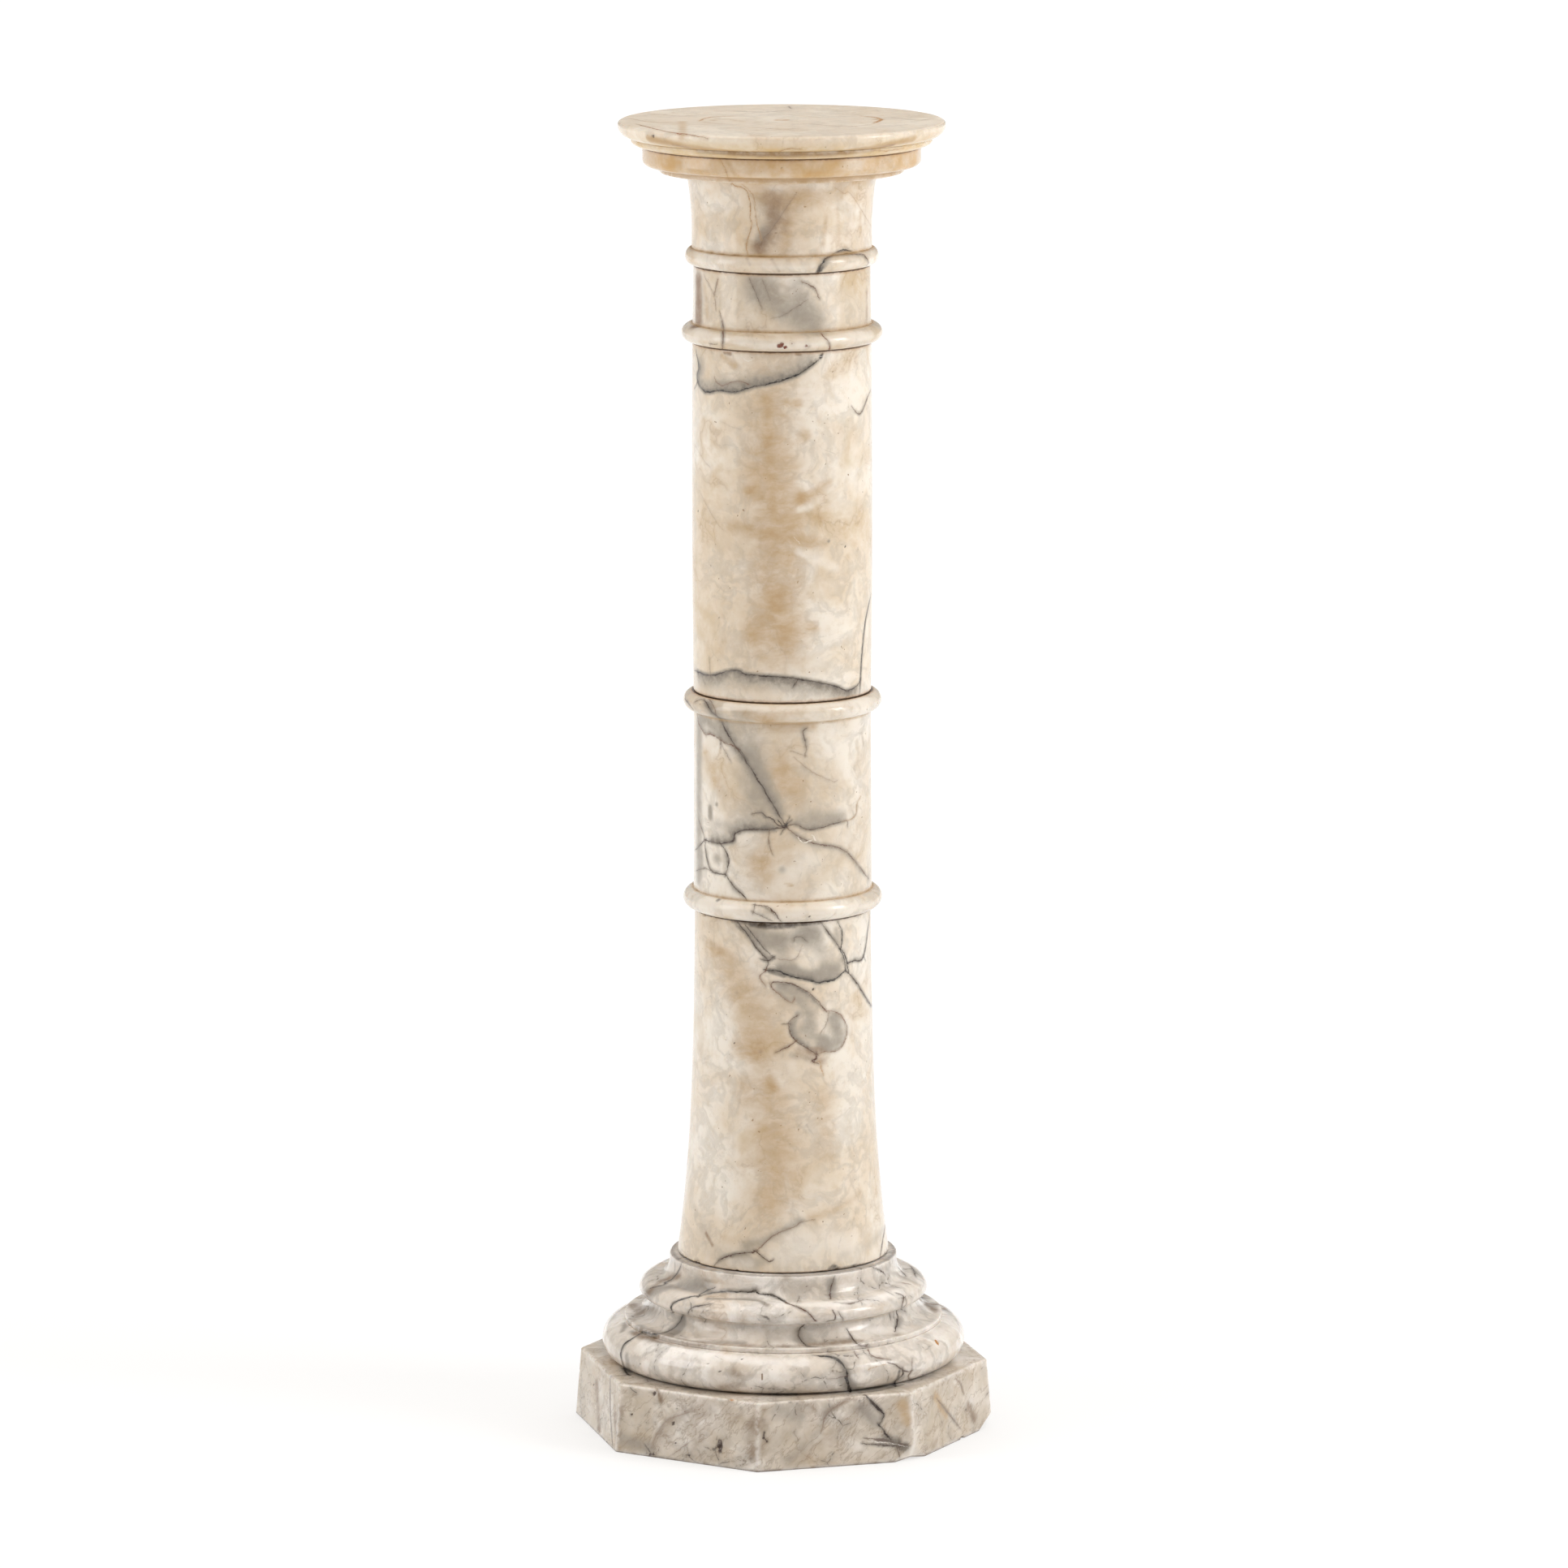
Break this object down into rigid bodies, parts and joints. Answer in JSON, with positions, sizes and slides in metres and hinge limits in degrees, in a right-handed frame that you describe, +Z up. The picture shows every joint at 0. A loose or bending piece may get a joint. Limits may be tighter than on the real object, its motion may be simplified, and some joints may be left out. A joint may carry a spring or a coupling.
{
  "type": "marble column pedestal",
  "caption": "Turned marble column pedestal with a round display slab, ringed drum shaft, moulded round base and octagonal plinth, for standing a bust, vase or plant on",
  "frame": {"origin": "centre of the plinth's underside, on the axis of the column", "axes": "+Z up along the column's axis; two flats of the eight-sided plinth face along X and two along Y; -Y is the front"},
  "size_m": [0.3034, 0.3034, 1.016],
  "materials": {
    "marble_warm": "polished, honey-stained veined marble",
    "marble_cream": "polished cream marble with dark veins and amber clouds",
    "marble_pale": "worn polished pale marble with dark veins, pits and grime in its hollows"
  },
  "bodies": {
    "root": {"top_slab": "marble_warm", "capital": "marble_warm", "necking_drum": "marble_cream", "upper_shaft": "marble_cream", "middle_drum": "marble_cream", "lower_shaft": "marble_cream", "base": "marble_pale"}
  },
  "joints": []
}
